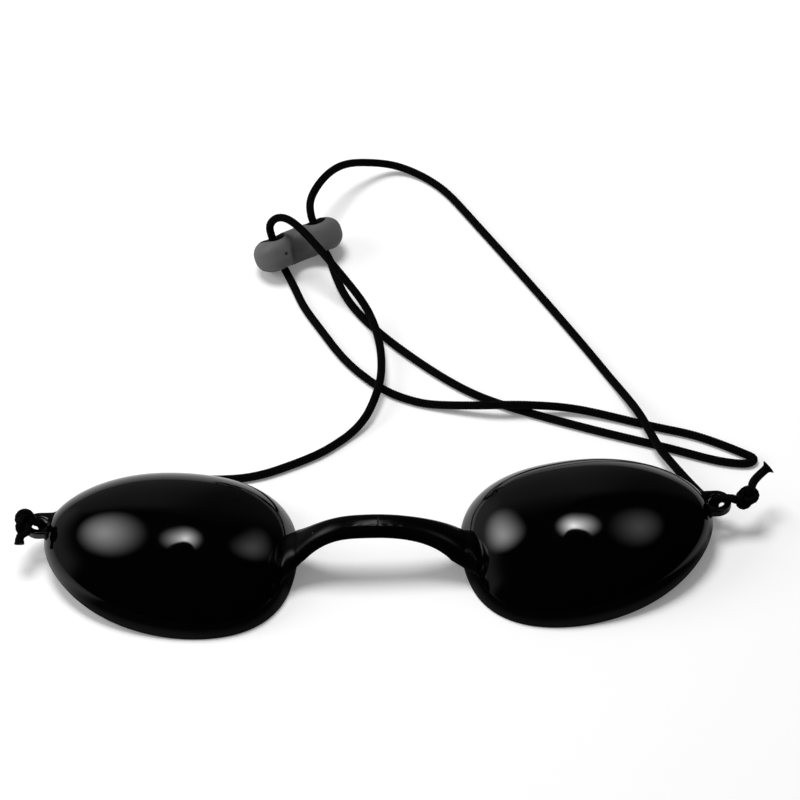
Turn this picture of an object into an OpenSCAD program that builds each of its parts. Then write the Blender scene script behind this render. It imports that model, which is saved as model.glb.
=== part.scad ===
// Blackout goggles: two opaque eye cups on a soft nose bridge, worn with one elastic cord.
// The part lies on its cup rims. +X is to the wearer's left, +Y to the brow, +Z out of the face.
// The origin is on the ground below the bridge, midway between the cups.

/* [Eye cups] */
// Length of a cup, nose end to temple end
cup_len = 47.4; // [44:0.2:54]
// Width of a cup, brow side to cheek side
cup_wid = 37.4; // [34:0.2:42]
// Share by which a cup is wider at its nose half than at its temple half
cup_egg = 0.13; // [0:0.01:0.2]
// Share by which the nose end is fuller than an oval
nose_full = 0.065; // [0:0.005:0.1]
// Height of the dome over the face plane
cup_high = 14.6; // [12:0.2:18]
// Thickness of the shell
cup_wall = 1.4; // [1:0.1:2]
// Distance between the two cup centres
cup_pitch = 79.5; // [78.5:0.1:82]
// Turn of each cup that sets its temple end back towards the brow
cup_turn = 7.7; // [0:0.1:12]
// Lean of each dome towards the nose
cup_lean = 6; // [0:0.5:8]
// Length of the rim that lies flat, from the nose end
rim_flat = 15.7; // [10:0.1:24]
// Rise of the rim at its temple end
rim_rise = 5; // [3:0.1:6]
// Height of the rolled lip round the rim
lip_high = 0.9; // [0.6:0.1:1.4]
// Distance that the rolled lip stands out
lip_out = 0.5; // [0.2:0.1:0.8]

/* [Cord tabs] */
// Thickness of a tab
tab_thick = 1.7; // [1.2:0.1:2.4]
// Radius of the tab's round end
tab_r = 2.8; // [2.5:0.1:3.4]
// Radius of the cord hole in a tab
tab_hole_r = 1.55; // [1.2:0.05:1.8]
// Distance of the cord hole past the cup's temple end
tab_reach = 1; // [0.6:0.1:1.6]
// Offset of the cord hole towards the brow, from the cup's temple end
tab_offset = 1.4; // [0:0.1:2.4]

/* [Nose bridge] */
// Height of the strap's middle over the ground
bridge_high = 11; // [9:0.1:13]
// Drop of the strap from its middle to a foot
bridge_drop = 4.5; // [3:0.1:5]
// Distance of a foot from the middle, along X
bridge_half = 14.6; // [13.6:0.1:15.2]
// Offset of the strap towards the cheeks
bridge_back = 3; // [0:0.5:4]
// Shift of the arch's crest to the left cup
strap_sway = 2.4; // [0:0.1:3]
// Width of the strap at its middle
strap_wid = 4.5; // [3:0.1:6]
// Thickness of the strap at its middle
strap_thick = 2.5; // [1.6:0.1:3]
// Width of a foot
foot_wid = 7; // [5:0.1:8]
// Thickness of a foot
foot_thick = 3; // [2.2:0.1:3.6]
// Bond line between a foot and its seat on the cup
foot_gap = 0.1; // [0.05:0.05:0.3]

/* [Cord lock] */
// Distance between the lock's two cord holes
lock_pitch = 9.8; // [9:0.2:11]
// Distance between the centres of the two lobes
lobe_pitch = 11.2; // [10:0.2:12]
// Radius of a lobe
lobe_r = 4.4; // [4.2:0.1:5]
// Radius of the waist between the lobes
waist_r = 4; // [3:0.1:4.2]
// Length of the lock along its holes
lock_len = 7.2; // [6.6:0.2:8]
// Radius at the mouth of a hole
mouth_r = 2.2; // [1.8:0.1:2.5]
// Length of the narrow part that grips the cord
grip_len = 2.2; // [1.6:0.2:3]
// Clearance round the cord in the narrow part
grip_gap = 0.08; // [0.05:0.01:0.1]

/* [Cord] */
// Diameter of the elastic cord
cord_d = 1.5; // [1.2:0.1:1.6]
// Radius of the ball of a stopper knot
knot_r = 1.7; // [1.6:0.1:2]

/* [Hidden] */

cup_sides = 48;
dome_steps = 11;
cord_r = cord_d / 2;
strap_sides = 16;
strap_steps = 20;

// The rim lies flat up to rise_x and then climbs on a round sweep of radius rise_r.
rise_x = rim_flat - cup_len / 2;
rise_run = cup_len / 2 - rise_x;
rise_r = (rise_run * rise_run + rim_rise * rim_rise) / (2 * rim_rise);

// Tab, level with the rim at the temple end
tab_x = cup_pitch / 2 + cup_len / 2 * cos(cup_turn) + tab_reach;
tab_y = cup_len / 2 * sin(cup_turn) + tab_offset;
tab_z = rim_rise + 0.3;
tab_top = tab_z + tab_thick;
// Length of the tab's root inside the temple end, trimmed by the cup's inner space
tab_root = 7;
// Narrowing of the tab towards its root, on the brow side
tab_taper = 1;

// Strap: the drop grows with a power of the distance from the middle
strap_power = 2.6;
foot_power = 6;
strap_round = 0.6;
foot_slope = atan(strap_power * bridge_drop / bridge_half);
foot_mid = [bridge_half, -bridge_back, bridge_high - bridge_drop];

// Skirt of a foot's seat: a bar inside the nose end, moved towards the cheeks
skirt_in = 1.5;
skirt_high = 4;
skirt_thick = 2;
skirt_wid = foot_wid + 2;
skirt_shift = 1;
skirt_lift = 1.2;
foot_skin = 0.2;

// Lock: it leans back on its two lobes, turned with its right lobe to the brow
lock_turn = 30;
lock_lean = 38;
lock_mid = [-15.3, 85.3, lobe_r];
lock_along = [cos(lock_turn), sin(lock_turn), 0];
lock_axis = [-sin(lock_lean) * sin(lock_turn), sin(lock_lean) * cos(lock_turn), cos(lock_lean)];
lock_slack = 2.1;
grip_r = cord_r + grip_gap;

// Points under the two tabs where the cord turns up, and the points just before them
right_under = [tab_x - 0.5, tab_y + 2.4, 3.4];
right_before = [tab_x - 1.4, tab_y + 4, 3.2];
left_under = [-tab_x + 0.5, tab_y + 2.2, 3.4];
left_before = [-tab_x + 1.6, tab_y + 3.6, 3.1];

// A point on the cord where it runs straight through the lock
function in_lock(side, s) = lock_mid + side * lock_pitch / 2 * lock_along + s * lock_axis;

// Route of the cord in three free stretches
right_route = concat(
    [for (s = [0:2]) in_lock(1, s * lock_slack)],
    [
        [-12.6, 92.5, 9.4], [-11.5, 96, 10.2], [-9, 101.5, 9.6], [-5, 107.5, 7.4],
        [0.5, 111.6, 4.2], [5.5, 113, 2], [10.5, 111, 1], [15.5, 106, 0.8], [20.5, 97.5, 0.8],
        [34, 72, 0.8], [46.5, 47, 0.8], [50, 39, 1.6], [52.5, 32, 2.5], [55, 24, 2.6],
        [57, 19.5, 2.7], [59.8, 14, 2.9]
    ],
    [right_before, right_under]
);
loop_route = concat(
    [in_lock(1, 0), in_lock(1, -lock_slack)],
    [
        [-9, 84, 1.4], [-8, 81, 0.8], [-5.3, 72.5, 0.8], [0.5, 62.3, 0.8], [9, 52, 0.8],
        [18, 43.5, 0.8], [25, 39, 0.8], [34.5, 34.5, 0.8], [46, 29.6, 0.8], [58.4, 24.6, 0.8],
        [66.5, 21.2, 0.8], [70.2, 20.3, 0.8], [71.9, 20.2, 0.8], [73, 20.6, 0.8], [73.4, 21.3, 0.8],
        [73, 22, 0.8], [71.9, 22.8, 0.8], [69.5, 24.4, 0.8], [62.5, 28.4, 0.8], [55.5, 31, 0.8],
        [41.5, 36, 1.2], [34.5, 36.8, 2], [27.5, 36.8, 2.7], [22.5, 37, 2.6], [13, 39, 1.2],
        [8.5, 40.4, 0.8], [3.5, 43, 0.8], [-1, 47, 0.8], [-6, 53.5, 0.8], [-10.5, 62, 0.8],
        [-14.5, 70.5, 0.8], [-16.3, 76, 0.8], [-17.6, 79.2, 1.4]
    ],
    [in_lock(-1, -lock_slack), in_lock(-1, 0)]
);
left_route = concat(
    [for (s = [0:2]) in_lock(-1, s * lock_slack)],
    [
        [-21, 85.6, 9.3], [-20.3, 85.5, 11], [-18.9, 84.9, 12.3], [-17.2, 84, 12.6],
        [-14.9, 82.1, 12], [-11.6, 78.1, 10.6], [-8.6, 74.5, 8.5], [-5, 70.4, 5.8], [-2, 66, 3.9],
        [0.3, 60.5, 3], [1.3, 54, 2.6], [1.3, 47.5, 2.6], [0.6, 43, 2.5], [-1.2, 37.4, 2], [-3.2, 34, 1.4],
        [-6.2, 30.9, 0.8], [-9.2, 28.3, 0.8], [-12.1, 26.3, 0.8], [-18, 23.3, 0.8], [-26.7, 20.7, 0.8],
        [-42.5, 20.8, 0.8], [-50, 18.4, 1], [-56, 14.2, 1.8], [-60, 10.8, 2.7]
    ],
    [left_before, left_under]
);

// Short ends of the cord: up through each tab's hole to its knot
right_tab_route = [
    right_under, right_under + (right_under - right_before) * 0.35,
    [tab_x - 0.3, tab_y + 0.5, 4.7], [tab_x - 0.3, tab_y + 0.1, 5.9], [tab_x, tab_y, tab_top],
    [tab_x + 0.7, tab_y - 0.2, tab_top + 0.7], [tab_x + 1.8, tab_y - 0.5, tab_top + 1],
    [tab_x + 3.4, tab_y - 0.6, tab_top + 0.9], [tab_x + 5, tab_y - 0.4, tab_top + 0.7]
];
left_tab_route = [
    left_under, left_under + (left_under - left_before) * 0.35,
    [-tab_x + 0.5, tab_y + 0.4, 4.7], [-tab_x + 0.5, tab_y, 5.9], [-tab_x + 0.2, tab_y - 0.1, tab_top],
    [-tab_x - 0.5, tab_y - 0.4, tab_top + 0.8], [-tab_x - 1.6, tab_y - 1.2, tab_top + 1.6]
];
right_knot = [70.2, 4.4, 7.6];
left_knot = [-66.6, 2.8, 9.2];
right_tail_route = [right_knot + [0.4, 0.8, 0.4], [72.2, 7.5, 9.1], [74.1, 9.9, 10.2]];
left_tail_route = [left_knot + [-0.3, -1, -0.7], [-67.2, 0.6, 7.9], [-67.6, -0.7, 6.8]];
tip_r = 1.35;
tip_len = 0.7;

function unit(v) = v / norm(v);

// Direction of a path at point i
function heading(path, i) =
    unit(path[min(i + 1, len(path) - 1)] - path[max(i - 1, 0)]);

// Side vectors carried along a path without twist
function side_vectors(path) = [
    for (
        i = 0, s = unit(cross(heading(path, 0), [0.3, 0.2, 1]));
        i < len(path);
        i = i + 1,
        s = i < len(path) ? unit(s - (s * heading(path, i)) * heading(path, i)) : s
    ) s
];

// Rings of a round tube along a path
function tube_rings(path, r, sides) =
    let (s = side_vectors(path))
    [for (i = [0:len(path) - 1])
        let (up = cross(heading(path, i), s[i]))
        [for (k = [0:sides - 1])
            path[i] + r * (cos(360 * k / sides) * s[i] + sin(360 * k / sides) * up)]];

// A closed skin over rings of equal count, from one end point to the other
module skin(first, rings, last) {
    m = len(rings);
    n = len(rings[0]);
    points = concat([first], [for (ring = rings) each ring], [last]);
    faces = concat(
        [for (k = [0:n - 1]) [0, 1 + k, 1 + (k + 1) % n]],
        [for (i = [0:m - 2], k = [0:n - 1], half = [0, 1])
            let (a = 1 + i * n, b = a + n, next = (k + 1) % n)
            half == 0 ? [a + k, b + k, b + next] : [a + k, b + next, a + next]],
        [for (k = [0:n - 1]) [1 + m * n, 1 + (m - 1) * n + (k + 1) % n, 1 + (m - 1) * n + k]]
    );
    polyhedron(points, faces);
}

module tube(path, r) {
    skin(path[0], tube_rings(path, r, 8), path[len(path) - 1]);
}

// Height of the rim at a distance from the cup's middle
function rim_z(x) = x < rise_x ? 0 : rise_r - sqrt(rise_r * rise_r - (x - rise_x) * (x - rise_x));

// A point on the dome at angle a round the cup and t degrees up from the rim, set in by inset
function dome_point(a, t, inset, lift) =
    let (
        full = 1 + nose_full * (1 - cos(a)) / 2 * (1 - cos(4 * a)) / 2,
        along = (cup_len / 2 - inset) * cos(a) * full,
        across = (cup_wid / 2 - inset) * sin(a) * (1 - cup_egg * cos(a)) * full,
        z = rim_z(along) * (1 - sin(t)) + (cup_high - max(inset, 0)) * sin(t)
            + along * sin(cup_lean) * (cos(t) + sin(t) - 1) + lift
    )
    [along * cos(t) - tan(cup_lean) * z, across * cos(t), z];

function dome_ring(t, inset, lift) =
    [for (k = [0:cup_sides - 1]) dome_point(360 * k / cup_sides, t, inset, lift)];

// The dome's wall starts again this far up, above the rolled lip
lip_t = asin((lip_high + lip_out) / cup_high);
dome_angles = [for (i = [0:dome_steps - 1]) lip_t + (86 - lip_t) * i / (dome_steps - 1)];
inner_angles = [for (i = [0:dome_steps - 2]) 86 - 86 * i / (dome_steps - 2)];

module cup_shell() {
    skin(
        dome_point(0, 90, cup_wall, 0),
        concat(
            [for (t = inner_angles) dome_ring(t, cup_wall, 0)],
            [dome_ring(0, -lip_out, 0), dome_ring(0, -lip_out, lip_high)],
            [for (t = dome_angles) dome_ring(t, 0, 0)]
        ),
        dome_point(0, 90, 0, 0)
    );
}

// The space inside a cup, let into half of its wall and carried down past the rim
module cup_space() {
    skin(
        [0, 0, -rim_rise - 1],
        concat(
            [dome_ring(0, cup_wall / 2, -rim_rise)],
            [for (i = [len(inner_angles) - 1:-1:0]) dome_ring(inner_angles[i], cup_wall / 2, 0)]
        ),
        dome_point(0, 90, cup_wall / 2, 0)
    );
}

module in_cup_place() {
    translate([cup_pitch / 2, 0, 0]) rotate([0, 0, cup_turn]) children();
}

// Lug for the cord on the temple end of a cup
module cord_tab() {
    root = cup_pitch / 2 + cup_len / 2 - tab_root;
    translate([0, 0, tab_z]) {
        translate([tab_x, tab_y, 0]) cylinder(r = tab_r, h = tab_thick, $fn = 48);
        linear_extrude(tab_thick) polygon([
            [root, tab_y - tab_r], [tab_x, tab_y - tab_r], [tab_x, tab_y + tab_r], [root, tab_y + tab_r - tab_taper]
        ]);
    }
}

// Seat that carries a foot of the bridge, flared into the dome and down to the lip
module bridge_seat() {
    hull() {
        translate(foot_mid) rotate([0, 90 + foot_slope, 0]) translate([0, 0, foot_gap])
            linear_extrude(foot_skin) rounded_bar(foot_thick, foot_wid);
        translate([
            (cup_pitch - cup_len) / 2 + skirt_in, -bridge_back - skirt_shift, lip_high + skirt_lift
        ])
            linear_extrude(skirt_high) rounded_bar(skirt_thick, skirt_wid);
    }
}

module rounded_bar(a, b) {
    hull() for (s = [-1, 1]) translate([0, s * (b - a) / 2]) circle(d = a, $fn = 24);
}

module eye_cup() {
    color([0.05, 0.05, 0.05])
    difference() {
        union() {
            in_cup_place() cup_shell();
            difference() {
                cord_tab();
                in_cup_place() cup_space();
            }
            difference() {
                bridge_seat();
                in_cup_place() cup_space();
            }
        }
        translate([tab_x, tab_y, tab_z - 1]) cylinder(r = tab_hole_r, h = tab_thick + 2, $fn = 48);
    }
}

module right_eye_cup() {
    eye_cup();
}

module left_eye_cup() {
    mirror([1, 0, 0]) eye_cup();
}

// The strap at u, from -1 at its left foot to 1 at its right foot. The crest is swayed to the left.
function strap_out(u) = u + strap_sway / bridge_half * (1 - u * u) * (1 - u * u);
function strap_mid(u) =
    [u * bridge_half, -bridge_back, bridge_high - bridge_drop * pow(abs(strap_out(u)), strap_power)];
function strap_slope(u) =
    -sign(strap_out(u)) * atan(strap_power * bridge_drop / bridge_half
        * pow(abs(strap_out(u)), strap_power - 1)
        * (1 - 4 * strap_sway / bridge_half * u * (1 - u * u)));
function strap_ring(u) =
    let (
        slope = strap_slope(u),
        w = strap_wid + (foot_wid - strap_wid) * pow(abs(u), foot_power),
        th = strap_thick + (foot_thick - strap_thick) * pow(abs(u), foot_power),
        out = [-sin(slope), 0, cos(slope)]
    )
    [for (k = [0:strap_sides - 1])
        let (c = cos(360 * k / strap_sides), s = sin(360 * k / strap_sides))
        strap_mid(u) + [0, w / 2 * sign(c) * pow(abs(c), strap_round), 0]
            + th / 2 * sign(s) * pow(abs(s), strap_round) * out];

module nose_bridge() {
    color([0.09, 0.09, 0.09])
    skin(
        strap_mid(-1),
        [for (i = [0:strap_steps]) strap_ring(-1 + 2 * i / strap_steps)],
        strap_mid(1)
    );
}

// Soft lock: two round lobes and a waist, trimmed flat where the flared holes open
module cord_lock() {
    color([0.36, 0.36, 0.36])
    translate(lock_mid) rotate([0, 0, lock_turn]) rotate([-lock_lean, 0, 0])
    difference() {
        intersection() {
            union() {
                for (s = [-1, 1]) translate([s * lobe_pitch / 2, 0, 0]) sphere(r = lobe_r, $fn = 64);
                rotate([0, 90, 0]) cylinder(r = waist_r, h = lobe_pitch, center = true, $fn = 64);
            }
            cube([lobe_pitch + 2 * lobe_r + 2, 2 * lobe_r + 2, lock_len], center = true);
        }
        for (s = [-1, 1]) translate([s * lock_pitch / 2, 0, 0]) {
            cylinder(r = grip_r, h = lock_len + 1, center = true, $fn = 48);
            for (e = [0, 1]) mirror([0, 0, e]) translate([0, 0, grip_len / 2])
                cylinder(r1 = grip_r, r2 = mouth_r, h = (lock_len - grip_len) / 2 + 0.001, $fn = 48);
        }
    }
}

module left_cord_run() {
    color([0.03, 0.03, 0.03]) tube(left_route, cord_r);
}

module adjustment_loop() {
    color([0.03, 0.03, 0.03]) tube(loop_route, cord_r);
}

module right_cord_run() {
    color([0.03, 0.03, 0.03]) tube(right_route, cord_r);
}

module left_tab_cord() {
    color([0.03, 0.03, 0.03]) tube(left_tab_route, cord_r);
}

module right_tab_cord() {
    color([0.03, 0.03, 0.03]) tube(right_tab_route, cord_r);
}

// Overhand stopper knot: a ball of crossed turns inside one raised turn
module stopper_knot(tilt) {
    sphere(r = knot_r, $fn = 48);
    rotate(tilt) rotate_extrude($fn = 48) translate([knot_r - cord_r / 2, 0]) circle(r = cord_r, $fn = 24);
}

module left_cord_knot() {
    color([0.03, 0.03, 0.03]) translate(left_knot) stopper_knot([0, 90, 0]);
}

module right_cord_knot() {
    color([0.03, 0.03, 0.03]) translate(right_knot) stopper_knot([0, 60, 30]);
}

module left_cord_tail() {
    color([0.03, 0.03, 0.03]) tube(left_tail_route, cord_r);
}

// The right tail ends in a flared tip where the cut was melted
module right_cord_tail() {
    end = right_tail_route[2];
    back = unit(right_tail_route[1] - end);
    color([0.03, 0.03, 0.03]) {
        tube(right_tail_route, cord_r);
        skin(end + back * tip_len / 2, tube_rings([end + back * tip_len / 2, end - back * tip_len / 2], tip_r, 8),
            end - back * tip_len / 2);
    }
}

left_eye_cup();
right_eye_cup();
nose_bridge();
cord_lock();
left_cord_run();
adjustment_loop();
right_cord_run();
left_tab_cord();
right_tab_cord();
left_cord_knot();
right_cord_knot();
left_cord_tail();
right_cord_tail();
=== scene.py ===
import math

import bpy
import numpy as np
from mathutils import Matrix


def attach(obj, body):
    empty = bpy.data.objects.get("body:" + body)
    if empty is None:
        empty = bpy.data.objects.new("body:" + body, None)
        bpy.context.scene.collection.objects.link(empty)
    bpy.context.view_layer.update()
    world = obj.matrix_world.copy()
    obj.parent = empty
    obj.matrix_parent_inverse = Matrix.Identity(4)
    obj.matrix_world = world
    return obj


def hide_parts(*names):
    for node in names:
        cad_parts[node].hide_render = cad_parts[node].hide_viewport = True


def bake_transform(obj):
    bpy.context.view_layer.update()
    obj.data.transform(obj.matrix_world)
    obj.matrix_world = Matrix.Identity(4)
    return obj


# Blackout goggles: glossy black cups on a soft strap, one braided elastic cord with a grey lock.
# Sizes are in millimetres and degrees in the settings, and every mesh is made in metres.
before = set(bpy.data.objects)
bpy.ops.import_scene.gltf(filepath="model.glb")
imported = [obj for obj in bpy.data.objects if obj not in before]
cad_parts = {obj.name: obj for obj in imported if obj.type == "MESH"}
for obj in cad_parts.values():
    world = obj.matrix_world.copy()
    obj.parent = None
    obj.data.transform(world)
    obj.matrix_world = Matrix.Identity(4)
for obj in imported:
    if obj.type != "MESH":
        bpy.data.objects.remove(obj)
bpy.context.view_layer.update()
mm = 0.001
tiny = 1e-6  # keeps a division from zero
print("frame loaded with", len(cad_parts), "nodes")


def addObject(name, data):
    added = bpy.data.objects.new(name, data)
    bpy.context.scene.collection.objects.link(added)
    return added


# Camera
view = {
    "eye": (4.9, -390.3, 417.5),
    "elevation": 44,  # above the ground, looking along +Y
    "roll": 1.89,  # the picture's right side stands higher
    "lens": 135.2, "sensor": 36, "clip": (0.05, 20),  # the clip is in metres
}


def addCamera(s):
    # Right, up and back axes of a view that looks down along +Y, turned about its own line of sight.
    tilt, roll = math.radians(s["elevation"]), math.radians(s["roll"])
    right = np.array([1.0, 0.0, 0.0])
    up = np.array([0.0, math.sin(tilt), math.cos(tilt)])
    back = np.array([0.0, -math.cos(tilt), math.sin(tilt)])
    axes = np.eye(4)
    axes[:3, 0] = math.cos(roll) * right - math.sin(roll) * up
    axes[:3, 1] = math.sin(roll) * right + math.cos(roll) * up
    axes[:3, 2] = back
    axes[:3, 3] = np.array(s["eye"]) * mm
    data = bpy.data.cameras.new("mainCamera")
    data.lens, data.sensor_width = s["lens"], s["sensor"]
    data.clip_start, data.clip_end = s["clip"]
    camera = addObject("mainCamera", data)
    camera.matrix_world = Matrix(axes.tolist())
    bpy.context.scene.camera = camera


addCamera(view)
print("camera placed")


# Mesh helpers
def unit(v):
    # Each vector over its own length.
    return v / np.linalg.norm(v, axis=-1, keepdims=True)


def smoothStep(x):
    # Three times x squared less twice x cubed.
    x = np.clip(x, 0, 1)
    return x * x * (3 - 2 * x)


def squircle(angle, power):
    # Cosine and sine of an angle raised to a power that flattens a circle towards a square.
    c, s = np.cos(angle), np.sin(angle)
    return np.sign(c) * np.abs(c) ** power, np.sign(s) * np.abs(s) ** power


def addMesh(name, points, quads, triangles, material, uv=None):
    # Turns the faces round where the volume that they enclose comes out negative.
    corners = points[quads]
    middle = corners.mean(1)
    area = np.cross(corners[:, 2] - corners[:, 0], corners[:, 3] - corners[:, 1]) / 2
    if (middle * area).sum() < 0:
        quads, triangles = quads[:, ::-1], triangles[:, ::-1]
        uv = None if uv is None else (uv[0][:, ::-1], uv[1][:, ::-1])
    mesh = bpy.data.meshes.new(name)
    mesh.from_pydata(points.tolist(), [], quads.tolist() + triangles.tolist())
    mesh.polygons.foreach_set("use_smooth", np.ones(len(mesh.polygons), bool))
    if uv is not None:
        layer = mesh.uv_layers.new(name="alongCord")
        flat = np.concatenate([uv[0].reshape(-1, 2), uv[1].reshape(-1, 2)])
        layer.data.foreach_set("uv", flat.astype(np.float32).ravel())
    mesh.materials.append(material)
    mesh.update()
    return addObject(name, mesh)


def skin(name, rings, material, closed=False, along=None):
    # A surface over rings of points in metres. Its ends close in a pole, or meet where it is closed.
    # Where each ring's distance along is given, the UV map holds the share of the way round and that.
    rows, cols = rings.shape[:2]
    i, j = np.meshgrid(np.arange(rows if closed else rows - 1), np.arange(cols), indexing="ij")
    nextI, nextJ = (i + 1) % rows, (j + 1) % cols
    quads = np.stack([i * cols + j, i * cols + nextJ, nextI * cols + nextJ, nextI * cols + j], -1)
    quads = quads.reshape(-1, 4)
    points = rings.reshape(-1, 3)
    triangles = np.zeros((0, 3), int)
    if not closed:
        first, last = rows * cols, rows * cols + 1
        points = np.concatenate([points, rings[0].mean(0)[None], rings[-1].mean(0)[None]])
        k = np.arange(cols)
        kNext, end = (k + 1) % cols, (rows - 1) * cols
        triangles = np.concatenate([
            np.stack([np.full(cols, first), kNext, k], -1),
            np.stack([np.full(cols, last), end + k, end + kNext], -1),
        ])
    uv = None
    if along is not None:
        step = np.stack([(j, i), (j + 1, i), (j + 1, i + 1), (j, i + 1)], -1).reshape(2, -1, 4)
        quadUv = np.stack([step[0] / cols, np.append(along, along[-1])[step[1]]], -1)
        uv = (quadUv, np.zeros((len(triangles), 3, 2)))
    return addMesh(name, points, quads, triangles, material, uv)


def alongLine(line):
    # Distance of each point from the first, along the line.
    return np.concatenate([[0], np.cumsum(np.linalg.norm(np.diff(line, axis=0), axis=1))])


def evenly(line, step):
    # Points on the line that are a step apart.
    along = alongLine(line)
    at = np.linspace(0, along[-1], int(along[-1] / step) + 1)
    return np.stack([np.interp(at, along, line[:, k]) for k in range(3)], 1)


def smoothLine(points, step, power=0.6, perPoint=60):
    # A natural cubic curve through the points, then points evenly spaced on it. Its parameter grows
    # from point to point by the chord raised to a power.
    p = np.array(points, float)
    n = len(p)
    chord = np.linalg.norm(np.diff(p, axis=0), axis=1)
    t = np.concatenate([[0], np.cumsum(chord**power)])
    h = np.diff(t)[:, None]
    slope = np.diff(p, axis=0) / h
    a = np.eye(n)
    b = np.zeros((n, 3))
    k = np.arange(1, n - 1)
    a[k, k - 1], a[k, k], a[k, k + 1] = h[:-1, 0], 2 * (h[:-1, 0] + h[1:, 0]), h[1:, 0]
    b[1:-1] = 6 * (slope[1:] - slope[:-1])
    bend = np.linalg.solve(a, b)
    at = np.linspace(0, t[-1], perPoint * n)
    i = np.clip(np.searchsorted(t, at, side="right") - 1, 0, n - 2)
    u, hi = (at - t[i])[:, None], h[i]
    rise = slope[i] - hi * (2 * bend[i] + bend[i + 1]) / 6
    fine = p[i] + u * (rise + u * (bend[i] / 2 + u * (bend[i + 1] - bend[i]) / (6 * hi)))
    return evenly(fine, step)


def lineFrames(line):
    # Side vectors square to the line, with the turn that each ring adds over the last taken out again.
    askew = [0.31, 0.17, 0.94]  # a direction that no cord follows
    heading = unit(np.gradient(line, axis=0))
    side = unit(np.cross(heading, askew))
    carried = unit(side[:-1] - (side[:-1] * heading[1:]).sum(1, keepdims=True) * heading[1:])
    up = np.cross(heading, side)
    turn = np.arctan2((carried * up[1:]).sum(1), (carried * side[1:]).sum(1))
    turn = np.concatenate([[0], np.cumsum(turn)])[:, None]
    return side * np.cos(turn) + up * np.sin(turn), up * np.cos(turn) - side * np.sin(turn)


# Materials
def newGroup(name, inputs, outputs):
    group = bpy.data.node_groups.new(name, "ShaderNodeTree")
    for label, kind, value in inputs:
        socket = group.interface.new_socket(name=label, in_out="INPUT", socket_type="NodeSocket" + kind)
        if value is not None:
            socket.default_value = value
    for label, kind in outputs:
        group.interface.new_socket(name=label, in_out="OUTPUT", socket_type="NodeSocket" + kind)
    return group, group.nodes.new("NodeGroupInput"), group.nodes.new("NodeGroupOutput")


def feed(tree, node, inputs):
    # Sets an input that is given as a plain value, and links one that is given as a socket.
    for key, value in dict(inputs).items():
        if isinstance(value, bpy.types.NodeSocket):
            tree.links.new(value, node.inputs[key])
        else:
            node.inputs[key].default_value = value


def addNode(tree, kind, inputs=(), **options):
    node = tree.nodes.new("ShaderNode" + kind)
    for key, value in options.items():
        setattr(node, key, value)
    feed(tree, node, inputs)
    return node


def calc(tree, operation, *terms, **options):
    # The result of a Math node over numbers and sockets.
    return addNode(tree, "Math", dict(enumerate(terms)), operation=operation, **options).outputs[0]


def ramp(tree, value, start, end, low=0.0, high=1.0, curve="SMOOTHSTEP"):
    # From low to high while the value goes from start to end.
    inputs = {"Value": value, "From Min": start, "From Max": end, "To Min": low, "To Max": high}
    return addNode(tree, "MapRange", inputs, interpolation_type=curve).outputs["Result"]


def mix(tree, kind, share, a, b):
    inputs = {"Factor": share, "A": a, "B": b}
    return addNode(tree, "Mix", inputs, data_type=kind).outputs["Result"]


def buildGrain():
    # Moulded grain: two sizes of noise on the piece's own coordinates. The coarse one is the tone too.
    group, given, result = newGroup(
        "mouldedGrain",
        [("Vector", "Vector", None), ("Size", "Float", 900.0), ("Coarse Share", "Float", 0.4)],
        [("Height", "Float"), ("Tone", "Float")],
    )
    place = given.outputs["Vector"]
    fine = addNode(group, "TexNoise", {
        "Vector": place, "Scale": given.outputs["Size"], "Detail": 3.0, "Roughness": 0.6}).outputs["Fac"]
    coarse = addNode(group, "TexNoise", {"Vector": place, "Scale": 140.0, "Detail": 2.0}).outputs["Fac"]
    height = mix(group, "FLOAT", given.outputs["Coarse Share"], fine, coarse)
    feed(group, result, {"Height": height, "Tone": coarse})
    return group


def buildDust():
    # Dust: small round spots about some of the points of a sparse cell pattern.
    group, given, result = newGroup(
        "dustSpecks",
        [("Vector", "Vector", None), ("Size", "Float", 260.0), ("Spot", "Float", 0.06),
         ("Share", "Float", 0.2), ("Base", "Color", (0, 0, 0, 1)), ("Dust", "Color", (0.5, 0.5, 0.5, 1))],
        [("Color", "Color")],
    )
    cells = addNode(group, "TexVoronoi", {
        "Vector": given.outputs["Vector"], "Scale": given.outputs["Size"], "Randomness": 1.0})
    near = calc(group, "LESS_THAN", cells.outputs["Distance"], given.outputs["Spot"])
    pick = addNode(group, "SeparateColor", {"Color": cells.outputs["Color"]})
    some = calc(group, "LESS_THAN", pick.outputs["Red"], given.outputs["Share"])
    spots = calc(group, "MULTIPLY", near, some)
    feed(group, result, {"Color": mix(group, "RGBA", spots, given.outputs["Base"], given.outputs["Dust"])})
    return group


groups = {"grain": buildGrain(), "dust": buildDust()}


def newMaterial(name, constants):
    material = bpy.data.materials.new(name)
    material.use_nodes = True
    tree = material.node_tree
    shader = tree.nodes["Principled BSDF"]
    feed(tree, shader, constants)
    return material, tree, shader


def useGroup(tree, key, inputs):
    node = tree.nodes.new("ShaderNodeGroup")
    node.node_tree = groups[key]
    feed(tree, node, inputs)
    return node


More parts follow.
